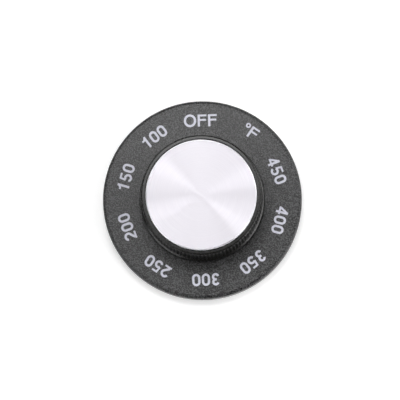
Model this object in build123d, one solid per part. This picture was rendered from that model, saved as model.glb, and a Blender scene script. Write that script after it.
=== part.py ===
from build123d import *
import os
from math import pi, radians, tan

# Thermostat stem, a quarter-inch shaft with one flat, and the socket that takes it
stem_diameter = 6.35
stem_across_flat = 5.56
stem_clearance = 0.05
stem_depth = 14.0
socket_chamfer = 0.4

# Dial skirt, the printed disc round the grip
dial_diameter = 63.5
skirt_plate = 1.8
skirt_wall = 2.0
skirt_draft = 1.5
skirt_edge_radius = 1.1
skirt_corner_radius = 0.8
back_edge_chamfer = 0.25
skirt_rib_count = 8
skirt_rib_width = 1.2

# Seat in the skirt for the foot of the grip
foot_diameter = 39.2
foot_gap = 0.4
seat_depth = 1.2
seat_floor = 1.4
ledge_width = 2.1
seat_ring_wall = 2.2

# Grip above the printed face
grip_height = 14.5
grip_top_diameter = 37.4
collar_height = 0.6
collar_step = 0.4
collar_fall = 0.24
collar_edge_radius = 0.1
rim_edge_radius = 0.75
rim_land = 0.5
spigot_gap = 0.15
spigot_lift = 0.15
spigot_wall = 1.5
cavity_draft = 1.0
crown_thickness = 2.2
grip_rib_width = 1.3
grip_rib_setback = 4.0

# Flutes in the wall of the grip, V-shaped, deepest at the collar and shallow at the top
flute_count = 100
flute_depth = 0.5
flute_top_depth = 0.4
flute_crest = 0.16
flute_overcut = 0.05
flute_foot_rise = 0.3

# Aluminium disc let into the top of the grip, and the adhesive under it
inlay_gap = 0.35
inlay_thickness = 0.9
inlay_bevel = 0.35
inlay_proud = 0.05
adhesive_thickness = 0.15
adhesive_margin = 0.8

# Hub of the grip
hub_wall = 2.4
hub_relief = 0.8
hub_chamfer = 0.4

# Plate, screws and inserts that clamp the skirt to the grip
plate_thickness = 1.0
plate_overlap = 1.6
plate_hub_gap = 0.5
pointer_length = 1.0
pointer_width = 2.6
screw_relief = 0.7
screw_diameter = 2.84
screw_hole_gap = 0.25
screw_thread_gap = 0.04
screw_head_diameter = 5.4
screw_head_height = 1.7
screw_head_dome = 0.6
screw_length = 7.0
cross_width = 0.8
cross_span = 2.8
cross_depth = 1.0
insert_diameter = 4.4
insert_length = 6.4
insert_fit = 0.02
insert_groove_depth = 0.25
insert_groove_width = 1.0
boss_wall = 1.2
boss_hole_extra = 1.0

# Calibration marks beside the pointer
mark_count = 9
mark_pitch = 4.0
mark_gap = 0.3
mark_margin = 0.3
mark_width = 0.4
mark_height = 0.25

# Leaf spring that presses on the flat of the stem
spring_thickness = 0.4
spring_width = 3.4
spring_length = 11.0
spring_bite = 0.25
spring_fit = 0.05
spring_slot_depth = 0.8
spring_hook = 1.5

# How close a radius has to be when an edge is looked up by it
radius_tolerance = 0.01

# Heights above the back of the rim, each stacked on the one before
plate_back = screw_relief + screw_head_height
ring_back = plate_back + plate_thickness
seat_level = ring_back + seat_floor
face_level = seat_level + seat_depth
collar_level = face_level + collar_height
rim_level = face_level + grip_height
recess_depth = adhesive_thickness + inlay_thickness - inlay_proud
recess_level = rim_level - recess_depth
crown_level = recess_level - crown_thickness
skirt_back = face_level - skirt_plate
spigot_level = ring_back + spigot_lift
rib_level = seat_level + grip_rib_setback

# Radii worked out from the fits
dial_radius = dial_diameter / 2
foot_radius = foot_diameter / 2
seat_radius = foot_radius + foot_gap
opening_radius = seat_radius - ledge_width
ring_radius = seat_radius + seat_ring_wall
spigot_radius = opening_radius - spigot_gap
cavity_radius = spigot_radius - spigot_wall
crest_radius = foot_radius - collar_step
grip_top_radius = grip_top_diameter / 2
recess_radius = grip_top_radius - rim_edge_radius - rim_land
inlay_radius = recess_radius - inlay_gap
stem_radius = stem_diameter / 2
socket_radius = stem_radius + stem_clearance
flat_offset = stem_across_flat - stem_radius + stem_clearance
hub_radius = socket_radius + hub_wall
plate_radius = opening_radius + plate_overlap
screw_radius = screw_diameter / 2
insert_radius = insert_diameter / 2
boss_radius = insert_radius + insert_fit + boss_wall
screw_offset = (hub_radius + cavity_radius) / 2
pointer_radius = plate_radius + pointer_length
screw_places = [(0, screw_offset), (0, -screw_offset)]

# Ribs of the grip, two of them carrying the screw bosses
grip_rib_angles = [30, 90, 150, 210, 270, 330]


def turned(points):
    """Solid of revolution about the knob's axis, from its half section as radius and height pairs."""
    section = make_face(Plane.XZ * Polyline(*points, close=True))
    return revolve(section, Axis.Z)


def cylinder_between(radius, low, high, x=0, y=0):
    """Upright cylinder between two heights."""
    return Pos(x, y, low) * Cylinder(radius, high - low, align=(Align.CENTER, Align.CENTER, Align.MIN))


def radial_bar(inner, outer, width, low, high, angle):
    """Upright bar that runs outwards from one radius to another."""
    bar = Box(outer - inner, width, high - low, align=(Align.MIN, Align.CENTER, Align.MIN))
    return Rot(0, 0, angle) * Pos(inner, 0, low) * bar


def circles_of(part, radius):
    """The circular edges of a part that have one radius."""
    circles = part.edges().filter_by(GeomType.CIRCLE)
    return circles.filter_by(lambda edge: abs(edge.radius - radius) < radius_tolerance)


def make_dial_skirt():
    """Printed disc with a turned-back rim, a stepped opening for the grip and ribs behind."""
    face_radius = dial_radius - face_level * tan(radians(skirt_draft))
    inner_rim = dial_radius - skirt_wall
    inner_back = inner_rim - skirt_back * tan(radians(skirt_draft))
    skirt = turned([
        (opening_radius, ring_back),
        (ring_radius, ring_back),
        (ring_radius, skirt_back),
        (inner_back, skirt_back),
        (inner_rim, 0),
        (dial_radius, 0),
        (face_radius, face_level),
        (seat_radius, face_level),
        (seat_radius, seat_level),
        (opening_radius, seat_level),
    ])
    skirt = fillet(circles_of(skirt, inner_back), skirt_corner_radius)
    skirt = fillet(circles_of(skirt, face_radius), skirt_edge_radius)
    skirt = chamfer(skirt.edges().group_by(Axis.Z)[0], back_edge_chamfer)

    # Each rib starts in the middle of the seat ring's wall and ends in the middle of the rim's wall
    rib_start = ring_radius - seat_ring_wall / 2
    rib_end = inner_back + skirt_wall / 2
    for place in range(skirt_rib_count):
        angle = (place + 0.5) * 360 / skirt_rib_count
        skirt += radial_bar(rib_start, rib_end, skirt_rib_width, ring_back, skirt_back, angle)
    for place in range(mark_count):
        angle = (place - (mark_count - 1) / 2) * mark_pitch
        start = pointer_radius + mark_gap
        end = ring_radius - mark_margin
        skirt += radial_bar(start, end, mark_width, ring_back - mark_height, ring_back, angle)
    return skirt


def make_flute_cutter():
    """V-shaped bar along the wall, from a sloped foot on the collar out through the rim."""
    pitch = 2 * pi * crest_radius / flute_count
    half_width = (pitch - flute_crest) / 2
    root = crest_radius - flute_depth
    reach = flute_depth + flute_overcut
    half_reach = half_width * reach / flute_depth
    foot = collar_level + flute_foot_rise
    corners = [
        (root, 0, foot),
        (root + reach, half_reach, collar_level),
        (root + reach, -half_reach, collar_level),
    ]
    section = make_face(Polyline(*corners, close=True))
    root_line = Vector(grip_top_radius - flute_top_depth - root, 0, rim_level - foot)
    return extrude(section, amount=root_line.length, dir=root_line.normalized())


def make_socket():
    """Space for the stem: a D-shaped hole with a chamfered mouth and a slot for the spring."""
    socket_top = hub_relief + stem_depth
    hole = cylinder_between(socket_radius, hub_relief, socket_top)
    flat_side = Pos(0, -flat_offset, hub_relief) * Box(
        2 * socket_radius, socket_radius, stem_depth, align=(Align.CENTER, Align.MAX, Align.MIN))
    mouth = Pos(0, 0, hub_relief) * Cone(
        socket_radius + socket_chamfer, socket_radius, socket_chamfer,
        align=(Align.CENTER, Align.CENTER, Align.MIN))
    slot_length = spring_length + spring_thickness / 2 + spring_fit
    slot = Pos(0, -flat_offset, hub_relief) * Box(
        spring_width + 2 * spring_fit, spring_slot_depth, slot_length,
        align=(Align.CENTER, Align.MAX, Align.MIN))
    return (hole - flat_side) + mouth + slot


def make_knob_grip():
    """Moulded grip with its fluted wall, crown, hub, ribs and screw bosses."""
    cavity_top = cavity_radius - (crown_level - spigot_level) * tan(radians(cavity_draft))
    grip = turned([
        (0, crown_level),
        (cavity_top, crown_level),
        (cavity_radius, spigot_level),
        (spigot_radius, spigot_level),
        (spigot_radius, seat_level),
        (foot_radius, seat_level),
        (foot_radius, collar_level - collar_fall),
        (crest_radius, collar_level),
        (grip_top_radius, rim_level),
        (recess_radius, rim_level),
        (recess_radius, recess_level),
        (0, recess_level),
    ])
    grip = fillet(circles_of(grip, grip_top_radius), rim_edge_radius)
    grip = fillet(circles_of(grip, foot_radius).group_by(Axis.Z)[-1], collar_edge_radius)
    cutter = make_flute_cutter()
    grip -= [Rot(0, 0, place * 360 / flute_count) * cutter for place in range(flute_count)]

    # The hub, ribs and bosses grow down from the middle of the crown's thickness
    top = crown_level + crown_thickness / 2
    hub = cylinder_between(hub_radius, hub_relief, top)
    hub = chamfer(hub.edges().group_by(Axis.Z)[0], hub_chamfer)
    grip += hub
    for angle in grip_rib_angles:
        grip += radial_bar(socket_radius, cavity_radius, grip_rib_width, rib_level, top, angle)
    for x, y in screw_places:
        grip += cylinder_between(boss_radius, spigot_level, top, x, y)
    hole_top = spigot_level + insert_length
    for x, y in screw_places:
        grip -= cylinder_between(insert_radius + insert_fit, spigot_level, hole_top, x, y)
        grip -= cylinder_between(screw_radius, hole_top, hole_top + boss_hole_extra, x, y)
    return grip - make_socket()


def make_inlay_adhesive():
    """Thin adhesive disc on the floor of the recess."""
    return cylinder_between(inlay_radius - adhesive_margin, recess_level, recess_level + adhesive_thickness)


def make_inlay_disc():
    """Aluminium disc with a bevelled edge."""
    low = recess_level + adhesive_thickness
    disc = cylinder_between(inlay_radius, low, low + inlay_thickness)
    return chamfer(disc.edges().group_by(Axis.Z)[-1], inlay_bevel)


def make_clamp_plate():
    """Steel plate under the seat ring, with a pointer, a hole for the hub and two screw holes."""
    plate = cylinder_between(plate_radius, plate_back, ring_back)
    base = plate_radius - pointer_length
    corners = [(base, pointer_width / 2), (pointer_radius, 0), (base, -pointer_width / 2)]
    pointer = extrude(Pos(0, 0, plate_back) * make_face(Polyline(*corners, close=True)), plate_thickness)
    plate += pointer
    plate -= cylinder_between(hub_radius + plate_hub_gap, plate_back, ring_back)
    for x, y in screw_places:
        plate -= cylinder_between(screw_radius + screw_hole_gap, plate_back, ring_back, x, y)
    return plate


def make_clamp_screw(x, y):
    """Pan-head screw with a cross recess, its head on the back of the clamp plate."""
    head_back = plate_back - screw_head_height
    head = cylinder_between(screw_head_diameter / 2, head_back, plate_back, x, y)
    head = fillet(head.edges().group_by(Axis.Z)[0], screw_head_dome)
    shank = cylinder_between(screw_radius, plate_back, plate_back + screw_length, x, y)
    screw = head + shank
    for span_x, span_y in [(cross_span, cross_width), (cross_width, cross_span)]:
        screw -= Pos(x, y, head_back) * Box(
            span_x, span_y, cross_depth, align=(Align.CENTER, Align.CENTER, Align.MIN))
    return screw


def make_thread_insert(x, y):
    """Brass sleeve in a boss, with a groove round it that keys it into the moulding."""
    sleeve = cylinder_between(insert_radius, spigot_level, spigot_level + insert_length, x, y)
    groove_low = spigot_level + (insert_length - insert_groove_width) / 2
    groove_high = groove_low + insert_groove_width
    groove = cylinder_between(insert_radius, groove_low, groove_high, x, y)
    groove -= cylinder_between(insert_radius - insert_groove_depth, groove_low, groove_high, x, y)
    bore = cylinder_between(
        screw_radius + screw_thread_gap, spigot_level, spigot_level + insert_length, x, y)
    return sleeve - groove - bore


def make_stem_spring():
    """Bowed leaf in the slot behind the flat, with a hook over the end of the hub."""
    half = spring_thickness / 2
    slot_wall = -flat_offset - spring_slot_depth
    leaf_y = slot_wall + spring_fit + half
    bow_y = -flat_offset + spring_bite - half
    hook_level = hub_relief - half
    tip_level = hub_relief + spring_length
    heel = (leaf_y, hook_level)
    centre_line = Line((leaf_y - spring_hook, hook_level), heel)
    centre_line += ThreePointArc(heel, (bow_y, (hook_level + tip_level) / 2), (leaf_y, tip_level))
    strip = offset(Plane.YZ * centre_line, amount=half, side=Side.BOTH)
    return extrude(make_face(strip), amount=spring_width / 2, both=True)


def build_pieces():
    """Every separate piece of the knob, by name."""
    pieces = {
        "dial_skirt": make_dial_skirt(),
        "knob_grip": make_knob_grip(),
        "inlay_adhesive": make_inlay_adhesive(),
        "inlay_disc": make_inlay_disc(),
        "clamp_plate": make_clamp_plate(),
        "stem_spring": make_stem_spring(),
    }
    for number, (x, y) in enumerate(screw_places, start=1):
        pieces[f"clamp_screw_{number}"] = make_clamp_screw(x, y)
        pieces[f"thread_insert_{number}"] = make_thread_insert(x, y)
    return pieces


os.makedirs("parts", exist_ok=True)
for name, piece in build_pieces().items():
    export_step(piece, f"parts/{name}.step")
    print(name, round(piece.volume, 2))
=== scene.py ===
# %% [markdown]
# # An oven knob: printed dial, fluted grip, spun aluminium disc
#
# The knob is a dial skirt with a printed scale, a fluted grip that stands in the middle of it, and an
# aluminium disc let into the top of the grip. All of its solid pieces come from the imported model, at their
# real size and place. This lesson photographs them: it sets up the camera, the floor and the light, gives
# each piece the finish of its real material, and adds the printed numbers as thin pieces of ink.

# %% Load the solid pieces
import math

import bmesh
import bpy
from mathutils import Matrix, Vector


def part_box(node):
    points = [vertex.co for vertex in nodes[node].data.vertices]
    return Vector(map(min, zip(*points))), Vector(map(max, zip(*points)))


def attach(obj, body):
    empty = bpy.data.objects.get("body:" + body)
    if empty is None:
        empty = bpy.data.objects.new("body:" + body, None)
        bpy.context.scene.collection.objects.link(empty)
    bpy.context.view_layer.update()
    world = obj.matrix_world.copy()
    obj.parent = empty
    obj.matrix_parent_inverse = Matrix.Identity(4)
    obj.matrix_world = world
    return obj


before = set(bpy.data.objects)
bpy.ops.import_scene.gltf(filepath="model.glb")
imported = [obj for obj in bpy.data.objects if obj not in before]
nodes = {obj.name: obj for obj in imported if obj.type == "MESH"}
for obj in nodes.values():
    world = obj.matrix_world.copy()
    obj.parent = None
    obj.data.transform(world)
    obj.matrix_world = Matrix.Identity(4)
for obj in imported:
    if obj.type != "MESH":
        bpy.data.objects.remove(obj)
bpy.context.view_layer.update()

MM = 0.001
face_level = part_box("dial_skirt")[1].z
dial_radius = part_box("dial_skirt")[1].x
disc_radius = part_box("inlay_disc")[1].x
print("pieces:", ", ".join(sorted(nodes)))
print(f"dial {2 * dial_radius / MM:.1f} mm across, printed face {face_level / MM:.1f} mm above the back rim")

# %% [markdown]
# ## The camera
#
# The knob lies on its back and the camera looks down on it, almost along its axis. A long lens from about
# half a metre keeps the round outline round, as in a catalogue picture. The eye leans about six
# degrees towards the foot of the picture, which is why the far side of the grip hides its own foot while
# the near side shows its flutes. The camera's three axes are worked out from those angles, so that each
# angle can be changed by itself.

# %% Place the camera
camera_distance = 470 * MM
picture_width = 126.8 * MM
film_width = 36
nearest, farthest = 0.01, 20
eye_lean = math.radians(5.8)
eye_side = math.radians(281)
picture_top = math.radians(87.5)
picture_centre = (-0.7 * MM, -0.2 * MM)


def place_camera():
    """Camera that looks back at the printed face from the side that the eye leans to."""
    data = bpy.data.cameras.new("camera")
    data.sensor_width = film_width
    data.lens = film_width * camera_distance / picture_width
    data.clip_start, data.clip_end = nearest, farthest
    back = Vector((
        math.sin(eye_lean) * math.cos(eye_side),
        math.sin(eye_lean) * math.sin(eye_side),
        math.cos(eye_lean),
    ))
    top = Vector((math.cos(picture_top), math.sin(picture_top), 0))
    right = top.cross(back).normalized()
    up = back.cross(right)
    target = Vector((0, 0, face_level)) + picture_centre[0] * right + picture_centre[1] * up
    camera = bpy.data.objects.new("camera", data)
    camera.matrix_world = Matrix((right, up, back)).transposed().to_4x4()
    camera.location = target + camera_distance * back
    bpy.context.scene.collection.objects.link(camera)
    return camera


camera = place_camera()
bpy.context.scene.camera = camera
print(f"lens {camera.data.lens:.0f} mm, {camera.location.z / MM:.0f} mm above the floor")

# %% [markdown]
# ## Colours and nodes
#
# Colours are written the way a paint chart or a web page gives them, as sRGB hex, and one function turns
# them into the linear values that a shader works with. A second small function adds a node, sets it and
# wires it up, and a third starts a material. They keep each finish below short enough to read at a glance.


# %% Three helpers for materials
def linear(hex_colour):
    """An sRGB hex colour as linear red, green, blue and alpha, by the curve of the sRGB standard."""
    channels = [int(hex_colour[place:place + 2], 16) / 255 for place in (1, 3, 5)]
    return [c / 12.92 if c <= 0.04045 else ((c + 0.055) / 1.055) ** 2.4 for c in channels] + [1.0]


def add_node(tree, kind, settings, links):
    """Adds a node, sets its sockets or properties, and links its inputs to other nodes' outputs."""
    node = tree.nodes.new(kind)
    for name, value in settings.items():
        if isinstance(name, str) and hasattr(node, name):
            setattr(node, name, value)
        else:
            node.inputs[name].default_value = value
    for name, output in links.items():
        tree.links.new(output, node.inputs[name])
    return node


def new_material(name, settings):
    """Material with a Principled shader, and the node that gives coordinates on the object."""
    material = bpy.data.materials.new(name)
    material.use_nodes = True
    tree = material.node_tree
    shader = tree.nodes["Principled BSDF"]
    for socket, value in settings.items():
        shader.inputs[socket].default_value = value
    place = add_node(tree, "ShaderNodeTexCoord", {}, {}).outputs["Object"]
    return material, tree, shader, place


print("black plastic #333333 is", [round(c, 3) for c in linear("#333333")])

# %% [markdown]
# ## Floor and sky
#
# A small part like this is photographed on white paper. The floor is a pale plane, and it glows a little
# for the camera and for reflections only, so that it turns out white and still keeps the knob's shadow. A
# dim white sky fills in the shadows. It is brighter from the head of the picture than from its foot, as in
# a room with its window behind the object.

# %% Floor and sky
floor_half = 2.0
floor_gap = 0.02 * MM
floor_glow = 0.3
sky_low, sky_high = 0.08, 0.16


def make_floor():
    """Pale floor that also glows for camera, glossy and transmitted rays."""
    bm = bmesh.new()
    bmesh.ops.create_grid(bm, x_segments=1, y_segments=1, size=floor_half)
    bmesh.ops.translate(bm, verts=bm.verts, vec=(0, 0, -floor_gap))
    mesh = bpy.data.meshes.new("floor")
    bm.to_mesh(mesh)
    bm.free()
    floor = bpy.data.objects.new("floor", mesh)
    bpy.context.scene.collection.objects.link(floor)
    settings = {"Base Color": linear("#F4F4F4"), "Roughness": 0.9, "Specular IOR Level": 0.0,
                "Emission Color": linear("#FFFFFF")}
    material, tree, shader, _ = new_material("white_paper", settings)
    rays = add_node(tree, "ShaderNodeLightPath", {}, {})
    mirrored = add_node(tree, "ShaderNodeMath", {"operation": "MAXIMUM"},
                        {0: rays.outputs["Is Glossy Ray"], 1: rays.outputs["Is Transmission Ray"]})
    seen = add_node(tree, "ShaderNodeMath", {"operation": "MAXIMUM"},
                    {0: rays.outputs["Is Camera Ray"], 1: mirrored.outputs[0]})
    glow = add_node(tree, "ShaderNodeMath", {"operation": "MULTIPLY", 1: floor_glow},
                    {0: seen.outputs[0]})
    tree.links.new(glow.outputs[0], shader.inputs["Emission Strength"])
    mesh.materials.append(material)


def make_sky():
    """White light from all round, brighter from the head of the picture."""
    world = bpy.data.worlds.new("studio")
    world.use_nodes = True
    tree = world.node_tree
    way = add_node(tree, "ShaderNodeTexCoord", {}, {}).outputs["Generated"]
    headward = add_node(tree, "ShaderNodeVectorMath", {"operation": "DOT_PRODUCT", 1: (0, 1, 0)}, {0: way})
    level = add_node(tree, "ShaderNodeMapRange", {"From Min": -1, "To Min": sky_low, "To Max": sky_high},
                     {"Value": headward.outputs["Value"]})
    tree.links.new(level.outputs["Result"], tree.nodes["Background"].inputs["Strength"])
    tree.nodes["Background"].inputs["Color"].default_value = linear("#FFFFFF")
    bpy.context.scene.world = world


make_floor()
make_sky()
bpy.context.scene.view_settings.view_transform = "Standard"
print(f"floor {2 * floor_half:.0f} m across, {floor_gap / MM:.2f} mm under the knob")

# %% [markdown]
# ## The lamps
#
# All the lamps are soft rectangles aimed at the grip. The first is small and hangs close above the knob, a
# little towards the head of the picture. Being so near, it makes the skirt lighter at its head than at its
# foot, and it throws the grip's soft shadow the other way. The next three stand high round the knob, and
# open the fans of light on the spun disc. The last four stand low, at the right and at the lower left. They
# strike the skirt at a slant and lighten it little, but they catch what stands up from it: the collar round
# the grip's foot, which shows as a thin bright line, and the edges of the flutes.

# %% Place the lamps
# Each lamp has its name, its side of the dial and its height in degrees, its distance, width and depth in
# metres, and its power in watts. Sides are counted anticlockwise from the right of the picture.
lamps = (
    ("overhead", 95, 72, 0.3, 0.1, 0.1, 0.315),
    ("head_left", 147, 62, 0.45, 0.16, 0.16, 0.27),
    ("head_right", 22, 62, 0.45, 0.16, 0.16, 0.17),
    ("foot_left", 203, 62, 0.45, 0.16, 0.16, 0.21),
    ("low_head_right", 22, 28, 0.5, 0.214, 0.143, 0.64),
    ("low_right", -22, 27, 1.5, 1.18, 0.26, 7.8),
    ("grazing_right", -38, 13, 1.5, 0.64, 0.21, 4.7),
    ("low_foot_left", 222, 27, 1.5, 1.07, 0.26, 5.0),
)


def add_lamp(name, side, height, distance, width, depth, power):
    """Soft rectangular lamp, placed round the middle of the printed face and turned towards it."""
    data = bpy.data.lights.new(name, "AREA")
    data.shape = "RECTANGLE"
    data.size, data.size_y = width, depth
    data.energy = power
    side, height = math.radians(side), math.radians(height)
    away = Vector((
        math.cos(height) * math.cos(side),
        math.cos(height) * math.sin(side),
        math.sin(height),
    ))
    lamp = bpy.data.objects.new(name, data)
    lamp.location = Vector((0, 0, face_level)) + distance * away
    lamp.rotation_mode = "QUATERNION"
    lamp.rotation_quaternion = away.to_track_quat("Z", "Y")
    bpy.context.scene.collection.objects.link(lamp)


for name, *settings in lamps:
    add_lamp(f"lamp_{name}", *settings)
print("lamps:", ", ".join(name for name, *settings in lamps))

# %% [markdown]
# ## The dial's plastic
#
# The skirt is moulded in black ABS against a spark-eroded mould, so its skin is a fine even grain that
# scatters light and turns the black to a dark grey. One noise does that: it lifts the surface in bumps,
# mottles the colour and varies the gloss. The real grain is about 0.15 mm across. Here it is drawn at
# 0.42 mm, nearly three times as coarse, because anything finer would vanish between the pixels.


# %% Textured black plastic
def plastic_of_the_dial():
    """ABS from a spark-eroded mould: dark grey grain, half matt."""
    grain_size = 0.42 * MM
    grain_height = 0.12 * MM
    material, tree, shader, place = new_material("abs_spark_eroded_black", {"IOR": 1.45})
    grain = add_node(tree, "ShaderNodeTexNoise", {"Scale": 1 / grain_size, "Detail": 2.0, "Roughness": 0.55},
                     {"Vector": place})
    mottle = add_node(tree, "ShaderNodeValToRGB", {}, {"Fac": grain.outputs["Fac"]})
    dark, light = mottle.color_ramp.elements
    dark.position, dark.color = 0.44, linear("#0B0B0B")
    light.position, light.color = 0.60, linear("#4A4A4B")
    tree.links.new(mottle.outputs["Color"], shader.inputs["Base Color"])
    sheen = add_node(tree, "ShaderNodeMapRange",
                     {"From Min": 0.3, "From Max": 0.7, "To Min": 0.26, "To Max": 0.38},
                     {"Value": grain.outputs["Fac"]})
    tree.links.new(sheen.outputs["Result"], shader.inputs["Roughness"])
    bump = add_node(tree, "ShaderNodeBump", {"Strength": 1.0, "Distance": grain_height},
                    {"Height": grain.outputs["Fac"]})
    tree.links.new(bump.outputs["Normal"], shader.inputs["Normal"])
    return material


finishes = {"dial_skirt": plastic_of_the_dial()}
print("dial skirt:", finishes["dial_skirt"].name)

# %% [markdown]
# ## The grip's plastic
#
# The grip is a phenolic moulding with a smooth satin skin, a little warmer and more olive than the skirt.
# It shows the lamps as soft sheens along its flutes. The skin isn't perfect: a wide, shallow ripple of the
# kind that moulded gloss always has keeps the sheens from looking ruled.


# %% Satin black plastic
def plastic_of_the_grip():
    """Phenolic moulding: smooth, slightly olive black with a satin gloss."""
    ripple_size = 1.6 * MM
    ripple_height = 0.004 * MM
    material, tree, shader, place = new_material(
        "phenolic_satin_black", {"IOR": 1.5, "Specular IOR Level": 0.4})
    ripple = add_node(tree, "ShaderNodeTexNoise", {"Scale": 1 / ripple_size, "Detail": 2.0},
                      {"Vector": place})
    tint = add_node(tree, "ShaderNodeValToRGB", {}, {"Fac": ripple.outputs["Fac"]})
    dark, light = tint.color_ramp.elements
    dark.position, dark.color = 0.3, linear("#0C0C0A")
    light.position, light.color = 0.7, linear("#121210")
    tree.links.new(tint.outputs["Color"], shader.inputs["Base Color"])
    sheen = add_node(tree, "ShaderNodeMapRange", {"To Min": 0.24, "To Max": 0.32},
                     {"Value": ripple.outputs["Fac"]})
    tree.links.new(sheen.outputs["Result"], shader.inputs["Roughness"])
    bump = add_node(tree, "ShaderNodeBump", {"Strength": 0.5, "Distance": ripple_height},
                    {"Height": ripple.outputs["Fac"]})
    tree.links.new(bump.outputs["Normal"], shader.inputs["Normal"])
    return material


finishes["knob_grip"] = plastic_of_the_grip()
print("grip:", finishes["knob_grip"].name)

# %% [markdown]
# ## Spun aluminium
#
# The disc was spun against an abrasive, which leaves thousands of fine rings about its centre. Across the
# rings the metal is rough, and along them it is nearly a mirror, so light spreads outwards and inwards in
# fans. The shader's anisotropy does the same when its tangent points away from the centre. The rings
# themselves come from a noise that varies quickly with the radius and slowly round the disc. Real rings are
# a few hundredths of a millimetre apart, and here they are drawn at a quarter of a millimetre to show. The
# bright ring round the edge is a painted highlight: the colour turns near-white over the bevel.


# %% Spun aluminium of the disc
def aluminium_of_the_disc():
    """Aluminium with fine rings about the disc's centre, and a painted highlight on the bevel."""
    ring_pitch = 0.25 * MM
    ring_height = 0.002 * MM
    bevel_start = disc_radius - 0.4 * MM
    bevel_highlight_blend = 0.08 * MM
    material, tree, shader, place = new_material("aluminium_spun", {"Metallic": 1.0, "Anisotropic": 1.0})
    flat = add_node(tree, "ShaderNodeVectorMath", {"operation": "MULTIPLY", 1: (1, 1, 0)}, {0: place})
    outward = add_node(tree, "ShaderNodeVectorMath", {"operation": "NORMALIZE"}, {0: flat.outputs[0]})
    radius = add_node(tree, "ShaderNodeVectorMath", {"operation": "LENGTH"}, {0: flat.outputs[0]})
    across = add_node(tree, "ShaderNodeMath", {"operation": "DIVIDE", 1: ring_pitch},
                      {0: radius.outputs["Value"]})
    rings_at = add_node(tree, "ShaderNodeCombineXYZ", {}, {"X": across.outputs[0]})
    spot = add_node(tree, "ShaderNodeVectorMath", {"operation": "ADD"},
                    {0: rings_at.outputs[0], 1: outward.outputs[0]})
    rings = add_node(tree, "ShaderNodeTexNoise", {"Scale": 1.0, "Detail": 3.0}, {"Vector": spot.outputs[0]})
    shade = add_node(tree, "ShaderNodeValToRGB", {}, {"Fac": rings.outputs["Fac"]})
    dark, light = shade.color_ramp.elements
    dark.position, dark.color = 0.25, linear("#DDDAE1")
    light.position, light.color = 0.75, linear("#E4E1E7")
    # Painted highlight: over the bevel ring the base colour is mixed towards near-white, so the edge renders
    # bright
    bevel_highlight_mask = add_node(tree, "ShaderNodeMapRange",
                        {"From Min": bevel_start, "From Max": bevel_start + bevel_highlight_blend},
                        {"Value": radius.outputs["Value"]})
    metal = add_node(tree, "ShaderNodeMixRGB", {"Color2": linear("#FBFAFF")},
                     {"Fac": bevel_highlight_mask.outputs["Result"], "Color1": shade.outputs["Color"]})
    tree.links.new(metal.outputs["Color"], shader.inputs["Base Color"])
    polish = add_node(tree, "ShaderNodeMapRange", {"To Min": 0.45, "To Max": 0.50},
                      {"Value": rings.outputs["Fac"]})
    tree.links.new(polish.outputs["Result"], shader.inputs["Roughness"])
    bump = add_node(tree, "ShaderNodeBump", {"Strength": 0.3, "Distance": ring_height},
                    {"Height": rings.outputs["Fac"]})
    tree.links.new(bump.outputs["Normal"], shader.inputs["Normal"])
    tree.links.new(outward.outputs[0], shader.inputs["Tangent"])
    return material


finishes["inlay_disc"] = aluminium_of_the_disc()
print(f"disc: {finishes['inlay_disc'].name}, {2 * disc_radius / MM:.1f} mm across")

# %% [markdown]
# ## The metals behind, and the adhesive
#
# Behind the skirt sit pressed and turned parts: a clamp plate and screws with bright zinc plating, brass
# inserts, a blued spring leaf, and a film of adhesive under the disc. They are simpler surfaces, so one
# function makes them all: a base colour that a noise clouds towards a second one, and a roughness to match.

# %% Clouded finishes for the small parts
roughness_spread = 0.06


def clouded_finish(name, colour, cloud_colour, cloud_size, roughness, metallic):
    """Finish whose colour drifts between two shades, with the gloss drifting along with it."""
    material, tree, shader, place = new_material(name, {"Metallic": metallic})
    clouds = add_node(tree, "ShaderNodeTexNoise", {"Scale": 1 / cloud_size, "Detail": 4.0}, {"Vector": place})
    tint = add_node(tree, "ShaderNodeValToRGB", {}, {"Fac": clouds.outputs["Fac"]})
    low, high = tint.color_ramp.elements
    low.position, low.color = 0.35, linear(colour)
    high.position, high.color = 0.65, linear(cloud_colour)
    tree.links.new(tint.outputs["Color"], shader.inputs["Base Color"])
    dull = add_node(tree, "ShaderNodeMapRange",
                    {"To Min": roughness - roughness_spread, "To Max": roughness + roughness_spread},
                    {"Value": clouds.outputs["Fac"]})
    tree.links.new(dull.outputs["Result"], shader.inputs["Roughness"])
    return material


finishes["inlay_adhesive"] = clouded_finish("acrylic_adhesive", "#CFCBBD", "#C3BEAE", 0.8 * MM, 0.55, 0.0)
zinc = clouded_finish("steel_zinc_plated", "#B8BABB", "#C9C8C0", 1.2 * MM, 0.34, 1.0)
brass = clouded_finish("brass_turned", "#C9A45C", "#BB9350", 0.8 * MM, 0.28, 1.0)
spring_steel = clouded_finish("spring_steel_blued", "#4A4F5B", "#5A5450", 0.9 * MM, 0.32, 1.0)
finishes["clamp_plate"] = zinc
finishes["stem_spring"] = spring_steel
for number in (1, 2):
    finishes[f"clamp_screw_{number}"] = zinc
    finishes[f"thread_insert_{number}"] = brass
for name, finish in finishes.items():
    nodes[name].data.materials.clear()
    nodes[name].data.materials.append(finish)
print("finished:", len(finishes), "pieces")

# %% [markdown]
# ## The printed scale
#
# The numbers are pad-printed in pale grey ink, in the plain bold sans figures of appliance dials. Each glyph
# is drawn as a pen would draw it. A few vertices are moved along the middle of each stroke, with spins for
# the round parts. That path is pulled up into a narrow upright strip as high as the ink is thick, and a
# Solidify modifier gives the strip the width of the pen. Upright strokes have a wider pen than level ones,
# as in most alphabets. Where strokes cross, a Boolean joins them, so every glyph is one clean closed shape.
# Sizes here are in millimetres, because Booleans work better on numbers near one, and they are turned to
# metres when a label is placed.

# %% The glyphs as pen strokes
cap_height = 3.9
ink_height = 0.03
letter_gap = 0.45
steps_per_half_turn = 14
weld_distance = 0.01
bold, level, fine = 0.72, 0.6, 0.5

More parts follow.
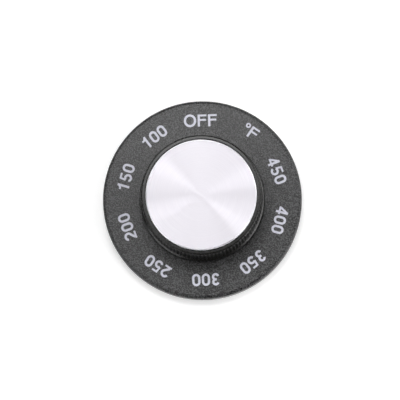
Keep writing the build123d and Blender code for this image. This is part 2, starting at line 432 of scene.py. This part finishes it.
# Each glyph has its width and its strokes. A stroke is a pen and a path. A path goes from its first point
# to further points, or turns about a centre by some degrees.
GLYPHS = {
    "0": (2.6, [(bold, [(0.36, 1.3), (0.36, 2.6), (1.3, 2.6, -180), (2.24, 1.3), (1.3, 1.3, -180)])]),
    "1": (2.6, [(bold, [(1.6, 0), (1.6, 3.9)]),
                (level, [(0.3, 2.82), (0.66, 2.82), (0.66, 3.55, 60), (1.5, 3.5)])]),
    "2": (2.6, [(bold, [(0.35, 2.78), (1.3, 2.55, -200), (0.62, 0.6)]), (level, [(0.14, 0.3), (2.5, 0.3)])]),
    "3": (2.6, [(bold, [(0.52, 3.01), (1.27, 2.77, -252), (0.95, 1.98)]),
                (bold, [(1.27, 1.98), (1.27, 1.17, -255)])]),
    "4": (2.6, [(bold, [(1.82, 0), (1.82, 3.9)]), (level, [(0.08, 1.12), (2.6, 1.12)]),
                (level, [(0.36, 1.25), (1.74, 3.6)])]),
    "5": (2.6, [(level, [(2.38, 3.6), (0.74, 3.6), (0.52, 1.86)]),
                (bold, [(0.62, 1.88), (1.3, 1.25, -295)])]),
    "O": (3.92, [(bold, [(0.36, 1.88), (0.36, 2.08), (1.96, 2.08, -180), (3.56, 1.88), (1.96, 1.88, -180)])]),
    "F": (2.86, [(bold, [(0.4, 0.05), (0.4, 3.9)]), (level, [(0.4, 3.6), (2.86, 3.6)]),
                 (level, [(0.4, 2.16), (2.68, 2.16)])]),
    "°": (1.64, [(fine, [(0.25, 3.2), (0.82, 3.2, -360)])]),
}


def linked_object(name, mesh):
    """Object for a mesh, put into the scene."""
    obj = bpy.data.objects.new(name, mesh)
    bpy.context.scene.collection.objects.link(obj)
    return obj


def pen_stroke(name, width, path):
    """Upright strip along a pen's path, given the pen's width."""
    bm = bmesh.new()
    tip = bmesh.ops.create_vert(bm, co=(*path[0], 0))["vert"][0]
    for move in path[1:]:
        if len(move) == 2:
            tip = bmesh.ops.extrude_vert_indiv(bm, verts=[tip])["verts"][0]
            tip.co = (*move, 0)
        else:
            x, y, turn = move
            steps = math.ceil(abs(turn) / 180 * steps_per_half_turn)
            swept = bmesh.ops.spin(
                bm, geom=[tip], cent=(x, y, 0), axis=(0, 0, 1), angle=math.radians(turn), steps=steps)
            tip = [part for part in swept["geom_last"] if isinstance(part, bmesh.types.BMVert)][0]
    bmesh.ops.remove_doubles(bm, verts=bm.verts, dist=weld_distance)
    walls = bmesh.ops.extrude_edge_only(bm, edges=bm.edges)
    raised = [part for part in walls["geom"] if isinstance(part, bmesh.types.BMVert)]
    bmesh.ops.translate(bm, verts=raised, vec=(0, 0, ink_height))
    mesh = bpy.data.meshes.new(name)
    bm.to_mesh(mesh)
    bm.free()
    stroke = linked_object(name, mesh)
    pen = stroke.modifiers.new("pen", "SOLIDIFY")
    pen.thickness, pen.offset, pen.use_even_offset = width, 0, True
    return stroke


def make_glyph(name, strokes):
    """One glyph as a closed mesh, its strokes joined."""
    drawn = [pen_stroke(f"{name}_{number}", *stroke) for number, stroke in enumerate(strokes)]
    for other in drawn[1:]:
        join = drawn[0].modifiers.new("join", "BOOLEAN")
        join.operation, join.solver, join.object = "UNION", "EXACT", other
    bpy.context.view_layer.update()
    graph = bpy.context.evaluated_depsgraph_get()
    mesh = bpy.data.meshes.new_from_object(drawn[0].evaluated_get(graph))
    for stroke in drawn:
        bpy.data.objects.remove(stroke)
    return mesh


glyph_meshes = {glyph: make_glyph(glyph, strokes) for glyph, (_, strokes) in GLYPHS.items()}
print("glyph faces:", {glyph: len(mesh.polygons) for glyph, mesh in glyph_meshes.items()})

# %% [markdown]
# ## Setting the labels on the dial
#
# A label is a row of glyphs, centred on the middle of its own height, with the tops of the glyphs outward
# and the whole row turned to its place on the scale. From OFF at the top the scale climbs anticlockwise in
# steps of a little over 36 degrees. The degree sign and its F stand between OFF and 450 and give the unit
# of the scale. The print as a whole sits about a tenth of a millimetre off the dial's middle, as pad
# printing does. The ink is set a hair into the face, as thick ink beds into a textured skin, so no gap
# shows under it.

# %% The scale's labels
label_radius = 25.35
off_angle = 89
unit_radius, unit_angle = 26.6, 52.4
first_label, label_step = 124.8, 36.3
first_value, value_step, value_count = 100, 50, 8
print_shift = (0.07, -0.12)
ink_bed = 0.01

# Each label has its text, and the radius and the angle of its middle
labels = {"off": ("OFF", label_radius, off_angle), "degree_f": ("°F", unit_radius, unit_angle)}
for step in range(value_count):
    value = str(first_value + value_step * step)
    labels[value] = (value, label_radius, first_label + label_step * step)
print("labels:", ", ".join(text for text, *place in labels.values()))


# %% Print the scale
def label_mesh(text, radius, angle):
    """Row of glyphs in one mesh, in metres, at its place on the printed face."""
    bm = bmesh.new()
    width = sum(GLYPHS[glyph][0] for glyph in text) + letter_gap * (len(text) - 1)
    left = -width / 2
    lift = Matrix.Translation((*print_shift, face_level / MM - ink_bed))
    turn = Matrix.Rotation(math.radians(angle - 90), 4, "Z")
    for glyph in text:
        start = len(bm.verts)
        bm.from_mesh(glyph_meshes[glyph])
        bm.verts.ensure_lookup_table()
        row = Matrix.Translation((left, radius - cap_height / 2, 0))
        bmesh.ops.transform(bm, matrix=Matrix.Scale(MM, 4) @ lift @ turn @ row, verts=bm.verts[start:])
        left += GLYPHS[glyph][0] + letter_gap
    mesh = bpy.data.meshes.new(text)
    bm.to_mesh(mesh)
    bm.free()
    return mesh


def ink_of_the_scale():
    """Pad-printing ink: pale grey, matt, a little thinner in places."""
    mottle_size = 0.35 * MM
    material, tree, shader, place = new_material("pad_printing_ink_grey", {"Roughness": 0.5})
    mottle = add_node(tree, "ShaderNodeTexNoise", {"Scale": 1 / mottle_size, "Detail": 2.0},
                      {"Vector": place})
    tint = add_node(tree, "ShaderNodeValToRGB", {}, {"Fac": mottle.outputs["Fac"]})
    thin, full = tint.color_ramp.elements
    thin.position, thin.color = 0.3, linear("#BABAC5")
    full.position, full.color = 0.6, linear("#CDCDD9")
    tree.links.new(tint.outputs["Color"], shader.inputs["Base Color"])
    return material


ink = ink_of_the_scale()
for name, label in labels.items():
    printed = linked_object(f"print_{name}", label_mesh(*label))
    printed.data.materials.append(ink)
    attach(printed, "root")
print("printed:", len(labels), "labels")
